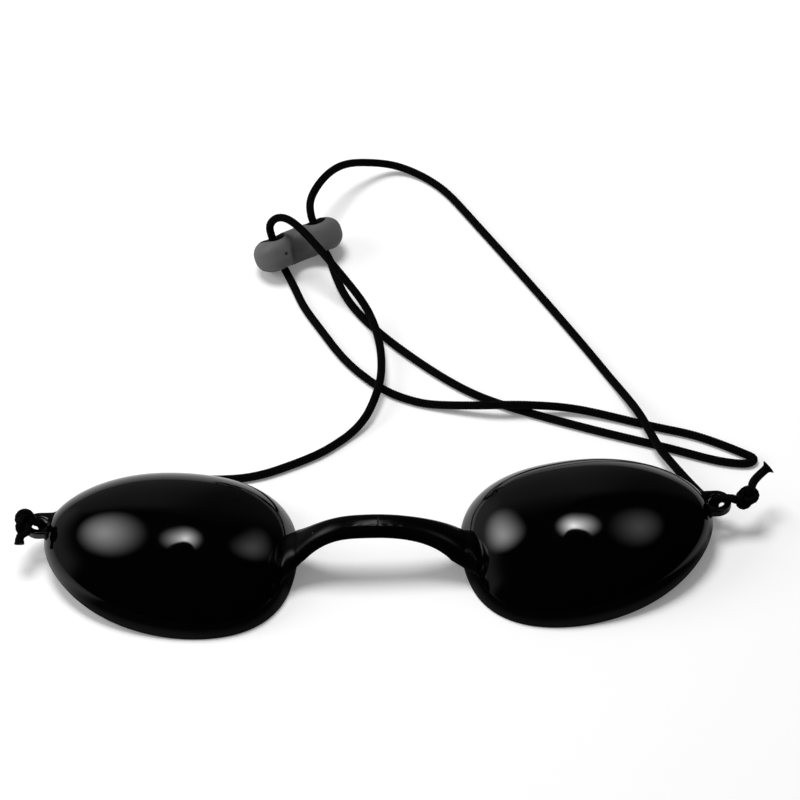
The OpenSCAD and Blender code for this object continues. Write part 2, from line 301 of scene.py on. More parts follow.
def moulded(name, s):
    # A moulded finish: grain in the bump, a slow change of tone and roughness, a little dust, and painted
    # shade where the piece marks it.
    material, tree, shader = newMaterial(name, {"IOR": 1.5, "Specular IOR Level": s["specular"]})
    place = addNode(tree, "TexCoord").outputs["Object"]
    grain = useGroup(tree, "grain", {"Vector": place, "Size": s["grainSize"], "Coarse Share": s["coarse"]})
    tone = mix(tree, "RGBA", grain.outputs["Tone"], (*s["dark"], 1), (*s["light"], 1))
    dustTone = (*[s["dustTone"]] * 3, 1)
    surface = useGroup(tree, "dust", {
        "Vector": place, "Size": s["dustSize"], "Spot": s["dustSpot"], "Share": s["dustShare"],
        "Base": tone, "Dust": dustTone}).outputs["Color"]
    if "paintedShadeTone" in s:  # painted shade: the holes, the dimple and the waist's hollow darken by the piece's own attribute
        shadeMask = addNode(tree, "Attribute", attribute_name="paintedShade").outputs["Fac"]
        surface = mix(tree, "RGBA", shadeMask, surface, (*[s["paintedShadeTone"]] * 3, 1))
    rough = ramp(tree, grain.outputs["Tone"], 0, 1, *s["rough"], curve="LINEAR")
    bump = addNode(tree, "Bump", {
        "Height": grain.outputs["Height"], "Strength": s["bump"], "Distance": s["bumpHeight"] * mm})
    feed(tree, shader, {"Base Color": surface, "Roughness": rough, "Normal": bump.outputs["Normal"]})
    return material


def twistedYarn(name, s):
    # Twisted fibres along the cord's UV map, in tone, roughness and bump. The braid itself is in the mesh.
    material, tree, shader = newMaterial(name, {"Specular IOR Level": s["specular"]})
    place = addNode(tree, "UVMap", uv_map="alongCord").outputs["UV"]
    spread = addNode(tree, "Mapping", {
        "Vector": place, "Scale": (s["fibres"], s["fibreRun"], 1), "Rotation": (0, 0, s["fibreTwist"])})
    fibre = addNode(tree, "TexNoise", {
        "Vector": spread.outputs["Vector"], "Scale": 1.0, "Detail": 3.0, "Distortion": 0.4}).outputs["Fac"]
    tone = mix(tree, "RGBA", fibre, (*s["dark"], 1), (*s["light"], 1))
    rough = ramp(tree, fibre, 0, 1, *s["rough"], curve="LINEAR")
    bump = addNode(tree, "Bump", {
        "Height": fibre, "Strength": s["bump"], "Distance": s["bumpHeight"] * mm})
    feed(tree, shader, {"Base Color": tone, "Roughness": rough, "Normal": bump.outputs["Normal"]})
    return material


shellGloss = moulded("glossBlackShell", {
    "dark": (0.0004, 0.0004, 0.0004), "light": (0.001, 0.001, 0.001),
    "rough": (0.03, 0.07), "specular": 0.5,
    "grainSize": 500.0, "coarse": 0.8, "bump": 0.15, "bumpHeight": 0.01,
    "dustSize": 170.0, "dustSpot": 0.03, "dustShare": 0.12, "dustTone": 0.06})
strapRubber = moulded("softBlackStrap", {
    "dark": (0.0006, 0.0006, 0.0006), "light": (0.0016, 0.0016, 0.0016),
    "rough": (0.14, 0.26), "specular": 0.16,
    "grainSize": 1500.0, "coarse": 0.5, "bump": 0.3, "bumpHeight": 0.03,
    "dustSize": 240.0, "dustSpot": 0.05, "dustShare": 0.1, "dustTone": 0.04})
lockRubber = moulded("greyLockRubber", {
    "dark": (0.095, 0.095, 0.096), "light": (0.13, 0.13, 0.131),
    "rough": (0.4, 0.55), "specular": 0.5,
    "grainSize": 2200.0, "coarse": 0.4, "bump": 0.35, "bumpHeight": 0.03,
    # the last value is the tone of the painted shade in the holes, the dimple and the waist
    "dustSize": 300.0, "dustSpot": 0.06, "dustShare": 0.1, "dustTone": 0.2, "paintedShadeTone": 0.003})
elasticBraid = twistedYarn("blackElasticBraid", {
    "dark": (0.0002, 0.0002, 0.0002), "light": (0.003, 0.003, 0.003),
    "rough": (0.6, 0.85), "specular": 0.06, "bump": 0.5, "bumpHeight": 0.02,
    "fibres": 60, "fibreRun": 3000, "fibreTwist": 0.5})  # the twist is in radians
print("materials built")


# Cup and tab sizes, which the cord needs too
cup = {
    "length": 47.4, "width": 37.4, "high": 14.6, "wall": 1.4,
    "egg": 0.13, "noseFull": 0.065,  # wider and fuller at the nose
    "pitch": 79.5, "turn": 7.7, "lean": 6,
    "flat": 15.7, "rise": 5,  # the rim climbs past its flat part
    "lipOut": 0.5, "footRound": 0.2,  # how far the foot stands out past the oval, and its rounding
    "swell": 40, "line": (2.9, 0.05),  # the dome swells out below this climb; a fine line near the foot
    "innerClimb": (89.4, 1.4), "outerClimb": (7.6, 89.6),  # of the first and last ring, inside and outside
    "footRings": ((1.0, 1.7, 2.4), (3.4, 4.2, 5.2, 6.4)),  # climbs of close rings below and above the line
    "sides": 288, "steps": 90, "footSteps": 6,
}
tab = {
    "thick": 1.7, "endRadius": 2.8, "holeRadius": 1.55, "reach": 1, "offset": 1.4, "lift": 0.3,
    "root": 4.6, "edgeRound": 0.4,
    "ramp": 0.9, "rampStart": 2.3, "rampEnd": 4.4,  # the top climbs to the dome by this, between these
    "sides": 120, "sectionSides": 48,
}
turned = math.radians(cup["turn"])
tabX = cup["pitch"] / 2 + cup["length"] / 2 * math.cos(turned) + tab["reach"]
tabY = cup["length"] / 2 * math.sin(turned) + tab["offset"]
tabTop = cup["rise"] + tab["lift"] + tab["thick"]


# Cord and lock
cord = {
    "diameter": 1.5, "sides": 40, "ring": 0.13,
    "bulk": 1.6,  # slack elastic puffs out a little over its drawn size
    "strands": 5, "pitch": 3.1, "relief": 0.11,  # strands each way, length of one turn, height of a float
    "floatPowers": (0.8, 0.35),  # powers of a float's bump across its strand and along it
    "rest": 0.82,  # lowest the middle may lie
}
lock = {
    "middle": (-15.3, 85.3, 4.4), "turn": 30, "lean": 38, "pitch": 9.8,
    "straight": 2.1,  # how far apart the cord's points lie on the axis of a hole
    "lobePitch": 11.2, "lobeRadius": 4.4, "length": 7.2,
    "waist": 2.6, "waistFades": (4, 3),  # its half depth, where it starts to fade, and over what length
    "easing": 4,  # the power by which lobes and waist run into one another
    "section": (0.95, 0.27, 4),  # the section's power in the middle, how much less at a lobe, from where
    "flatTop": 2.2, "roundFoot": 2.1,  # how square the ends are above and below
    "grip": 0.83, "gripLength": 2.2, "mouth": 2.5, "mouthDeep": 1.15, "flareLength": 1.2,
    "wornLip": 0.6, "wornFrom": 2.5, "wornOver": 1.1,  # the top mouths open out to the front
    "cutter": 5, "cutterRings": 81, "cutterSides": 64,  # half the height of what cuts a hole
    "facing": (0.1, 0.35), "holeReach": (4.8, 2.8),  # what counts as a hole's wall, which gets painted shade: its turn and its place
    # Marks of moulding and wear, and a patch of painted shade in the waist: place, height or strength, and
    # radius.
    "nub": ((-9.9, -0.6, 2.9), 0.5, 0.6), "dimple": ((-4.8, -4.1, -0.3), -0.4, 0.32),
    "scoop": ((-0.9, -2.8, -1.4), -1.3, 2.2), "paintedWaistShade": ((-1.2, -3.2, -1.3), 0.5, 2.4),
    "dimpleShade": (1.5, 0.4),  # painted shade in the dimple: dark by the first less the distance over the second
    "sides": 96, "rings": 120, "pole": 0.03,  # the first ring's angle off the pole, in radians
    "voxel": 0.14, "smoothing": (0.5, 4),  # the smoothing's strength and rounds
}
lockTurn, lockLean = math.radians(lock["turn"]), math.radians(lock["lean"])
lockAlong = np.array([math.cos(lockTurn), math.sin(lockTurn), 0])
lockAxis = np.array([
    -math.sin(lockLean) * math.sin(lockTurn), math.sin(lockLean) * math.cos(lockTurn), math.cos(lockLean)])
lockDepth = np.cross(lockAxis, lockAlong)


def inLock(side, s):
    # A point on the axis of one of the two holes, at the height s over the lock's middle.
    return (np.array(lock["middle"]) + side * lock["pitch"] / 2 * lockAlong + s * lockAxis).tolist()


rightUnder = [tabX - 0.5, tabY + 2.4, 3.4]
rightBefore = [tabX - 1.4, tabY + 4, 3.2]
leftUnder = [-tabX + 0.5, tabY + 2.2, 3.4]
leftBefore = [-tabX + 1.6, tabY + 3.6, 3.1]
straight = lock["straight"]
# Routes out of the lock to each tab, and round the loop back into the lock
rightRoute = [inLock(1, s * straight) for s in range(3)] + [
    [-12.6, 92.5, 9.4], [-11.5, 96, 10.2], [-9, 101.5, 9.6], [-5, 107.5, 7.4],
    [0.5, 111.6, 4.2], [5.5, 113, 2], [10.5, 111, 1], [15.5, 106, 0.8], [20.5, 97.5, 0.8],
    [34, 72, 0.8], [46.5, 47, 0.8], [50, 39, 1.6], [52.5, 32, 2.5], [55, 24, 2.6],
    [57, 19.5, 2.7], [59.8, 14, 2.9], rightBefore, rightUnder]
loopRoute = [inLock(1, 0), inLock(1, -straight)] + [
    [-9, 84, 1.4], [-8.1, 81, 0.8], [-5.6, 72.5, 0.8], [0.3, 62.3, 0.8], [9, 52, 0.8],
    [18, 43.5, 0.8], [25, 39, 0.8], [34.5, 34.5, 0.8], [46, 29.6, 0.8], [58.4, 24.6, 0.8],
    [66.5, 21.2, 0.8], [70.2, 20.3, 0.8], [71.9, 20.2, 0.8], [73, 20.6, 0.8], [73.4, 21.3, 0.8],
    [73, 22, 0.8], [71.9, 22.8, 0.8], [69.5, 24.4, 0.8], [62.5, 28.4, 0.8], [55.5, 31, 0.8],
    [41.5, 36, 1.2], [34.5, 36.8, 2], [27.5, 36.8, 2.7], [22.5, 37, 2.6], [13, 39, 1.2],
    [8.5, 40.4, 0.8], [3.5, 43, 0.8], [-1, 47, 0.8], [-6, 53.5, 0.8], [-10.5, 62, 0.8],
    [-14.5, 70.5, 0.8], [-16.3, 76, 0.8], [-17.6, 79.2, 1.4], inLock(-1, -straight), inLock(-1, 0)]
leftRoute = [inLock(-1, s * straight) for s in range(3)] + [
    [-21, 85.6, 9.3], [-20.3, 85.5, 11], [-18.9, 84.9, 12.3], [-17.2, 84, 12.6],
    [-14.9, 82.1, 12], [-11.5, 78.1, 10.6], [-8.3, 74.5, 8.5], [-4.6, 70.4, 5.8], [-1.6, 66, 3.9],
    [0.3, 60.5, 3], [1.3, 54, 2.6], [1.3, 47.5, 2.6], [0.6, 43, 2.5], [-1.2, 37.4, 2], [-3.2, 34, 1.4],
    [-6.2, 30.9, 0.8], [-9.2, 28.3, 0.8], [-12.1, 26.3, 0.8], [-18, 23.3, 0.8], [-26.7, 20.7, 0.8],
    [-42.5, 20.8, 0.8], [-50, 18.4, 1], [-56, 14.2, 1.8], [-60, 10.8, 2.7], leftBefore, leftUnder]


def braidHeight(around, along):
    # Strands wind left and right. Each float is a bump: the sine across its own strand times the sine
    # along it, each to a power.
    wind = along / cord["pitch"] * cord["strands"]
    p = cord["strands"] * around + wind
    q = cord["strands"] * around - wind
    f, g = p % 1, q % 1
    even = (np.floor(p) + np.floor(q)) % 2 == 0
    across, lengthwise = np.where(even, f, g), np.where(even, g, f)
    acrossPower, lengthPower = cord["floatPowers"]
    return np.sin(np.pi * across) ** acrossPower * np.sin(np.pi * lengthwise) ** lengthPower


def cordTube(name, line, radius, material):
    # Rings of a braided tube square to its line, of a radius that may change along it.
    along = alongLine(line)
    side, up = lineFrames(line)
    around = np.arange(cord["sides"]) / cord["sides"]
    height = braidHeight(around[None], along[:, None]) - 0.5
    reach = (np.broadcast_to(radius, len(line))[:, None] + cord["relief"] * height)[..., None]
    turn = 2 * np.pi * around[None, :, None]
    rings = line[:, None] + reach * (np.cos(turn) * side[:, None] + np.sin(turn) * up[:, None])
    return skin(name, rings * mm, material, along=along * mm)


def freeCord(name, route, body, bend, replaced):
    line = smoothLine(route, cord["ring"])
    line[:, 2] = np.maximum(line[:, 2], cord["rest"])
    piece = cordTube(name, line, cord["bulk"] / 2, elasticBraid)
    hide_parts(replaced)
    if bend:
        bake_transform(piece)
    else:
        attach(piece, body)
    return piece, line


def cordLength(line):
    return float(np.linalg.norm(np.diff(line, axis=0), axis=1).sum()) * mm


# Points between which a run bends as its cup turns, from the first point to the second. The script only
# bakes a run that has them in place, without attaching it to its cup.
leftBend, rightBend = ([-24, 22, 1], leftBefore), ([42, 56, 1], rightBefore)
leftRun, leftLine = freeCord("leftCordRun", leftRoute, "left_cup", leftBend, "left_cord_run")
loop, loopLine = freeCord("adjustmentLoop", loopRoute, "bridge", None, "adjustment_loop")
rightRun, rightLine = freeCord("rightCordRun", rightRoute, "right_cup", rightBend, "right_cord_run")
print("cord runs laid, metres:", [round(cordLength(x), 4) for x in (leftLine, loopLine, rightLine)])


# Knots
knotting = {
    "diameter": 1.45, "pitch": 1.22,  # drawn so tight that its turns press into one another
    "span": 2.3, "rise": 0.12, "open": 1.1, "samples": 400, "spacing": 0.2,  # the open knot it starts as
    "points": 90,
    "rounds": 700, "even": 0.15, "push": 0.35, "pull": 0.02,  # how much each round does
    "link": 0.28, "shorten": 0.6,  # last length of a link, and the share of the rounds that it takes
    "linkRounds": 4, "linkShare": 0.25,  # how each round sets the links' length
    "free": 1.6, "freeLinks": 3,  # points closer along the cord than this don't push one another
    "middle": 12, "keep": 1.9,  # points each side of the middle, and what is kept round it
    "lean": 0.35,  # how far the knot's length follows the way in
    "thin": (1.5, 2),  # the cord is thin this near the knot's middle, and fills out over this length
    "ringShare": 0.8, "tipReach": 3,  # rings closer than on the cord, and the flare's farthest reach
    # Where each knot and tail lies, and how far and over what length the tip flares
    "right": {
        "middle": (69.8, 4.6, 7.7), "tail": ((71.6, 7.5, 9.1), (74.5, 9.9, 10.2)), "flare": (0.62, 0.42)},
    "left": {
        "middle": (-66.6, 2.8, 9.2), "tail": ((-67.2, 0.6, 7.9), (-67.6, -0.7, 6.8)), "flare": (0.15, 0.6)},
}


def tightKnot(s):
    # An open overhand knot in cord diameters, from polynomials of the third, fourth and fifth degree.
    # Each round evens its bends, pushes its turns apart, shortens its links and pulls its two ends
    # outwards, until it is drawn tight.
    count, rounds = s["points"], s["rounds"]
    t = np.linspace(-s["span"], s["span"], s["samples"])
    p = np.stack([t**3 - 3 * t, t**4 - 4 * t**2, (t**5 - 10 * t) * s["rise"]], 1) * s["open"]
    p = evenly(p, s["spacing"])
    p = p[np.linspace(0, len(p) - 1, count).astype(int)]
    first = np.linalg.norm(np.diff(p, axis=0), axis=1).mean()
    apart = np.abs(np.subtract.outer(np.arange(count), np.arange(count)))
    for n in range(rounds):
        link = max(s["link"], first * (1 - n / (rounds * s["shorten"])))
        p[1:-1] += s["even"] * ((p[:-2] + p[2:]) / 2 - p[1:-1])
        gap = p[:, None] - p[None]
        far = np.linalg.norm(gap, axis=2)
        near = (apart > max(s["freeLinks"], s["free"] / link)) & (far < 1)
        p += s["push"] * (np.where(near, (1 - far) / np.maximum(far, tiny), 0)[..., None] * gap).sum(1)
        for _ in range(s["linkRounds"]):
            span = np.diff(p, axis=0)
            long = np.linalg.norm(span, axis=1, keepdims=True)
            shift = s["linkShare"] * (long - link) / long * span
            p[:-1] += shift
            p[1:] -= shift
        p[0, 0] -= s["pull"]
        p[-1, 0] += s["pull"]
    half = count // 2
    middle = p[half - s["middle"]:half + s["middle"]].mean(0)
    return (p - middle)[np.linalg.norm(p - middle, axis=1) < s["keep"]]


knotShape = tightKnot(knotting)


def knottedEnd(word, tabPoints):
    # Up through the tab's hole, into the knot, and out along the tail. The knot lies in the plane
    # of its way in and its way out, and the cord draws thinner in it. The tail's end flares.
    s = knotting[word]
    middle = np.array(s["middle"])
    wayIn = unit(middle - np.array(tabPoints[-1]))
    wayOut = unit(np.array(s["tail"][-1]) - middle)
    x, across = unit(knotting["lean"] * wayIn + wayOut), wayOut - wayIn
    y = unit(across - across @ x * x)
    axes = np.stack([x, y, np.cross(x, y)])
    turns = middle + knotting["pitch"] * knotShape @ axes
    line = smoothLine([*tabPoints, *turns[::2].tolist(), *s["tail"]], cord["ring"] * knotting["ringShare"])
    thinTo, thinOver = knotting["thin"]
    inKnot = 1 - smoothStep((np.linalg.norm(line - middle, axis=1) - thinTo) / thinOver)
    radius = cord["bulk"] / 2 + (knotting["diameter"] - cord["bulk"]) / 2 * inKnot
    away = np.linalg.norm(line - line[-1], axis=1)
    flare, flareLength = s["flare"]
    radius = radius + flare * np.exp(-((away / flareLength) ** 2)) * (away < knotting["tipReach"])
    piece = cordTube(word + "CordKnot", line, radius, elasticBraid)
    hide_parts(word + "_tab_cord", word + "_cord_knot", word + "_cord_tail")
    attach(piece, word + "_cup")
    return piece


rightTab = [
    rightUnder, [tabX - 0.3, tabY + 0.9, 4.2], [tabX - 0.3, tabY + 0.1, 5.9], [tabX, tabY, tabTop],
    [tabX + 0.7, tabY - 0.2, tabTop + 0.7], [tabX + 1.8, tabY - 0.5, tabTop + 1],
    [tabX + 3, tabY - 0.6, tabTop + 0.95]]
leftTab = [
    leftUnder, [-tabX + 0.5, tabY + 0.8, 4.2], [-tabX + 0.5, tabY, 5.9], [-tabX + 0.2, tabY - 0.1, tabTop],
    [-tabX - 0.5, tabY - 0.6, tabTop + 0.9]]
rightKnot = knottedEnd("right", rightTab)
leftKnot = knottedEnd("left", leftTab)

print("knots tied")


# Cups
def rimHeight(x):
    # Flat up to a point, then a round sweep up to the temple end.
    start = cup["flat"] - cup["length"] / 2
    run = cup["length"] / 2 - start
    radius = (run**2 + cup["rise"]**2) / (2 * cup["rise"])
    return np.where(x < start, 0, radius - np.sqrt(np.maximum(radius**2 - (x - start) ** 2, 0)))


def domePoint(a, t, inset, lift):
    # Angle a goes round an egg-shaped oval. As t climbs from the rim to the crown, the oval shrinks with
    # its cosine and the height grows with its sine, and the dome leans to the nose as it rises.
    full = 1 + cup["noseFull"] * (1 - np.cos(a)) / 2 * (1 - np.cos(4 * a)) / 2
    along = (cup["length"] / 2 - inset) * np.cos(a) * full
    across = (cup["width"] / 2 - inset) * np.sin(a) * (1 - cup["egg"] * np.cos(a)) * full
    lean = math.radians(cup["lean"])
    z = (rimHeight(along) * (1 - np.sin(t)) + (cup["high"] - np.maximum(inset, 0)) * np.sin(t)
         + along * math.sin(lean) * (np.cos(t) + np.sin(t) - 1) + lift)
    return np.stack([along * np.cos(t) - math.tan(lean) * z, across * np.cos(t), z], -1)


def cupSection():
    # Climb, inset and lift of each ring: inner wall, round foot, then the outer dome with its line.
    wall, out, r = cup["wall"], cup["lipOut"], cup["footRound"]
    corner = np.linspace(0, np.pi / 2, cup["footSteps"])
    c, s = np.cos(corner), np.sin(corner)
    inner = np.linspace(*cup["innerClimb"], cup["steps"])
    lineAt, lineDeep = cup["line"]
    below, above = cup["footRings"]
    outer = np.concatenate([below, [lineAt], above, np.linspace(*cup["outerClimb"], cup["steps"])])
    swell = -out * (1 - smoothStep(outer / cup["swell"])) + lineDeep * (outer == lineAt)
    level = np.zeros_like(corner)
    return np.concatenate([
        np.stack([np.radians(inner), np.full_like(inner, wall), np.zeros_like(inner)], 1),
        np.stack([level, wall - r + r * c, r - r * s], 1),
        np.stack([level, -out + r - r * s, r - r * c], 1),
        np.stack([np.radians(outer), swell, np.zeros_like(outer)], 1),
    ])


def placed(points, side):
    # Turned about the cup's middle, set out from the bridge, and mirrored for the left.
    x, y, z = np.moveaxis(points, -1, 0)
    out = np.stack([
        cup["pitch"] / 2 + x * math.cos(turned) - y * math.sin(turned),
        x * math.sin(turned) + y * math.cos(turned), z], -1)
    return out * [side, 1, 1]


def addCup(side, word):
    # One closed skin: up the inside from the crown to the rim, round the foot and up the outside.
    section = cupSection()[:, None]
    a = np.linspace(0, 2 * np.pi, cup["sides"], endpoint=False)[None]
    rings = placed(domePoint(a, section[..., 0], section[..., 1], section[..., 2]), side)
    piece = skin(word + "CupShell", rings * mm, shellGloss)
    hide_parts(word + "_eye_cup")
    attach(piece, word + "_cup")


def addTab(side, word):
    # A ring section carried round the hole: flat top and bottom, round edges, out to the tab's edge.
    # That edge is a half circle outwards, and straight sides and a straight root towards the cup.
    a = np.linspace(0, 2 * np.pi, tab["sides"], endpoint=False)[:, None]
    v = np.linspace(0, 2 * np.pi, tab["sectionSides"], endpoint=False)[None]
    c, s = squircle(v, tab["edgeRound"])
    toRoot = tab["root"] / np.maximum(-np.cos(a), tiny)
    toSide = tab["endRadius"] / np.maximum(np.abs(np.sin(a)), tiny)
    edge = np.where(np.cos(a) > 0, tab["endRadius"], np.minimum(toSide, toRoot))
    inner = tab["holeRadius"]
    out = (inner + edge) / 2 + (edge - inner) / 2 * c
    inward = -out * np.cos(a)
    climb = tab["ramp"] * smoothStep((inward - tab["rampStart"]) / (tab["rampEnd"] - tab["rampStart"]))
    z = tabTop - tab["thick"] / 2 + tab["thick"] / 2 * s + climb * (s > 0)
    rings = np.stack([tabX + out * np.cos(a), tabY + out * np.sin(a), z], -1) * [side, 1, 1]
    piece = skin(word + "CordTab", rings * mm, shellGloss, closed=True)
    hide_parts(word + "_eye_cup")
    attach(piece, word + "_cup")


for side, word in ((-1, "left"), (1, "right")):
    addCup(side, word)
    addTab(side, word)
print("cups and tabs shaped")


# Nose strap
strap = {
    "high": 11, "drop": 4.5, "half": 14.6, "back": 3, "sway": 2.4, "power": 2.6,
    "wide": 4.6, "thick": 3.2, "tilt": 16, "round": 0.85,
    "footWide": 7.4, "footThick": (3.4, 4.6), "footPower": (6, 3),  # a pair is left, right
    "footBack": (0, 0.6),  # how far each foot leans to the cheeks
    # The mould's parting line on the crest: its height, then its place and spread in radians
    "flash": 0.12, "flashAt": 1.9, "flashSpread": 0.16,
    "flashFades": (3, 5), "lumps": (2.3, 0.9, 1),  # where it fades out, and the waves that break it up
    "bendFrom": 0.35,  # where the real strap bends: from this share of its half to its foot
    "endAt": (18.2, -4.2, 4.0), "endWide": 10.5, "endThick": 4.6,  # last ring, inside the dome
    "sides": 64, "steps": 90, "footSteps": 26,
}


def strapSection(u):
    # Middle, width, thickness and outward direction of the strap at u, from -1 to 1 foot to foot. The
    # crest falls off with a power of u and sways to one side, and each foot grows with its own power.
    half, sway, power = strap["half"], strap["sway"], strap["power"]
    side = int(u[-1] > 0)
    out = u + sway / half * (1 - u * u) ** 2
    middle = np.stack([
        u * half, -strap["back"] - strap["footBack"][side] * np.abs(u) ** 3,
        strap["high"] - strap["drop"] * np.abs(out) ** power], -1)
    grade = -np.sign(out) * power * strap["drop"] / half * np.abs(out) ** (power - 1)
    slope = np.arctan(grade * (1 - 4 * sway / half * u * (1 - u * u)))
    grow = np.abs(u) ** strap["footPower"][side]
    wide = strap["wide"] + (strap["footWide"] - strap["wide"]) * grow
    fuller = (strap["footThick"][side] - strap["thick"]) * grow
    middle[:, 2] -= fuller / 2 * side  # the right foot is fuller on its underside
    thick = strap["thick"] + fuller
    return middle, wide, thick, np.stack([-np.sin(slope), 0 * u, np.cos(slope)], -1)


def addStrapHalf(side, word):
    # Rings from the middle to the foot, then on into the dome while the section flares down to the lip.
    u = np.linspace(0, side, strap["steps"])
    middle, wide, thick, out = strapSection(u)
    last = np.array(strap["endAt"]) * [side, 1, 1]
    w = np.linspace(0, 1, strap["footSteps"] + 1)[1:, None]
    yWay = np.array([0, 1, 0])
    heading = unit(np.cross(out[-1], yWay))
    heading = heading * side * np.sign(heading[0])
    reach = np.linalg.norm(last - middle[-1])
    turnOff = w * reach * (1 - w) ** 2
    eased = smoothStep(w)
    footMiddle = middle[-1] + (last - middle[-1]) * eased + heading * turnOff
    middle = np.concatenate([middle, footMiddle])
    wide = np.concatenate([wide, wide[-1] + (strap["endWide"] - wide[-1]) * eased[:, 0]])
    thick = np.concatenate([thick, thick[-1] + (strap["endThick"] - thick[-1]) * eased[:, 0]])
    out = np.concatenate([out, unit(out[-1] * (1 - eased) + np.array([0, 0, 1]) * eased)])
    tilt = math.radians(strap["tilt"]) * np.concatenate([1 - smoothStep(np.abs(u))[:, None], 0 * w])
    wideWay = np.cos(tilt) * yWay + np.sin(tilt) * out
    outWay = np.cos(tilt) * out - np.sin(tilt) * yWay
    angle = np.linspace(0, 2 * np.pi, strap["sides"], endpoint=False)
    c, s = squircle(angle, strap["round"])
    flash = strap["flash"] * np.exp(-((angle - strap["flashAt"]) / strap["flashSpread"]) ** 2)
    along = np.abs(middle[:, 0])
    fast, slow, shift = strap["lumps"]
    lumps = 0.5 + 0.5 * np.sin(along * fast) * np.sin(along * slow + shift)
    fadeFrom, fadeOver = strap["flashFades"]
    lift = (lumps * (1 - smoothStep((along - fadeFrom) / fadeOver)))[:, None] * flash[None]
    rings = (middle[:, None] + (wide[:, None] / 2 * c[None])[..., None] * wideWay[:, None]
             + (thick[:, None] / 2 * s[None] + lift)[..., None] * outWay[:, None])
    piece = skin(word + "StrapHalf", rings * mm, strapRubber)
    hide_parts("nose_bridge")
    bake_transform(piece)


addStrapHalf(-1, "left")
addStrapHalf(1, "right")
print("nose strap shaped")


# Cord lock
def solidLock():
    # Closed rings along the lock. Their half depth is two circles and a waist, summed as powers so that
    # they run into one another, and their height falls off as a power round the outer ends.
    half, radius, pole, n = lock["lobePitch"] / 2, lock["lobeRadius"], lock["pole"], lock["easing"]
    x = -(half + radius) * np.cos(np.linspace(pole, np.pi - pole, lock["rings"]))
    lobes = [np.sqrt(np.maximum(radius**2 - (x - s * half) ** 2, 0)) for s in (-1, 1)]
    fadeFrom, fadeOver = lock["waistFades"]
    waist = lock["waist"] * (1 - smoothStep((np.abs(x) - fadeFrom) / fadeOver))
    deep = (lobes[0] ** n + lobes[1] ** n + waist**n) ** (1 / n)
    outer = np.clip((np.abs(x) - half) / radius, 0, 1)[:, None]
    inMiddle, less, lobeFrom = lock["section"]
    power = inMiddle - less * smoothStep(np.abs(x) / lobeFrom)
    angle = np.linspace(0, 2 * np.pi, lock["sides"], endpoint=False)
    c, s = squircle(angle[None], power[:, None])
    square = np.where(s > 0, lock["flatTop"], lock["roundFoot"])
    tall = lock["length"] / 2 * (1 - outer**square) ** (1 / square)
    return np.stack([np.broadcast_to(x[:, None], c.shape), deep[:, None] * c, tall * s], -1)


def holeCutter(side):
    # A turned bore: the grip's radius in the middle, eased out to a wider and deeper one at both mouths.
    z = np.linspace(-lock["cutter"], lock["cutter"], lock["cutterRings"])
    past = smoothStep((np.abs(z) - lock["gripLength"] / 2) / lock["flareLength"])
    radius = lock["grip"] + (lock["mouth"] - lock["grip"]) * past
    deeper = radius * (1 + (lock["mouthDeep"] - 1) * past)
    a = np.linspace(0, 2 * np.pi, lock["cutterSides"], endpoint=False)
    upward = smoothStep((z - lock["wornFrom"]) / lock["wornOver"])
    worn = lock["wornLip"] * upward[:, None] * np.maximum(-np.sin(a), 0)
    shape = np.stack([
        side * lock["pitch"] / 2 + radius[:, None] * np.cos(a), deeper[:, None] * np.sin(a) * (1 + worn),
        np.broadcast_to(z[:, None], (len(z), len(a)))], -1)
    return skin("cutter", shape * mm, lockRubber)


def finishLock(shape):
    # On the mesh's own points, raises the gate nub, sinks the dimple and hollows the waist, each by a
    # bell curve and none in a hole, and marks painted shade in the holes, the dimple and the deepest part
    # of the waist.
    p = np.empty(len(shape.vertices) * 3)
    n = np.empty_like(p)
    shape.vertices.foreach_get("co", p)
    shape.vertices.foreach_get("normal", n)
    p, n = p.reshape(-1, 3) / mm, n.reshape(-1, 3)
    # The walls of a hole face its axis, and they get painted shade.
    facingFrom, facingOver = lock["facing"]
    farthest, sideways = lock["holeReach"]
    shadeMask = np.zeros(len(p))
    for side in (-1, 1):
        x, y = p[:, 0] - side * lock["pitch"] / 2, p[:, 1]
        away = np.hypot(x, y)
        facing = -(x * n[:, 0] + y * n[:, 1]) / np.maximum(away, tiny)
        wall = smoothStep((facing - facingFrom) / facingOver)
        shadeMask = np.maximum(shadeMask, wall * (away < farthest) * (np.abs(x) < sideways))
    for place, height, radius in (lock["nub"], lock["dimple"], lock["scoop"]):
        lift = height * np.exp(-((p - place) ** 2).sum(1) / radius**2) * (1 - shadeMask)
        p = p + lift[:, None] * n
    shape.vertices.foreach_set("co", (p * mm).ravel())
    # Painted shade in the dimple.
    spot = np.linalg.norm(p - lock["dimple"][0], axis=1)
    start, over = lock["dimpleShade"]
    shadeMask = np.maximum(shadeMask, smoothStep(start - spot / over))
    # Painted shade in the deepest part of the waist.
    place, shadeStrength, radius = lock["paintedWaistShade"]
    shadeMask = np.maximum(shadeMask, shadeStrength * np.exp(-((p - place) ** 2).sum(1) / radius**2))
    # All the painted shade is kept in one attribute.
    mark = shape.attributes.new("paintedShade", "FLOAT", "POINT")
    mark.data.foreach_set("value", shadeMask.astype(np.float32))


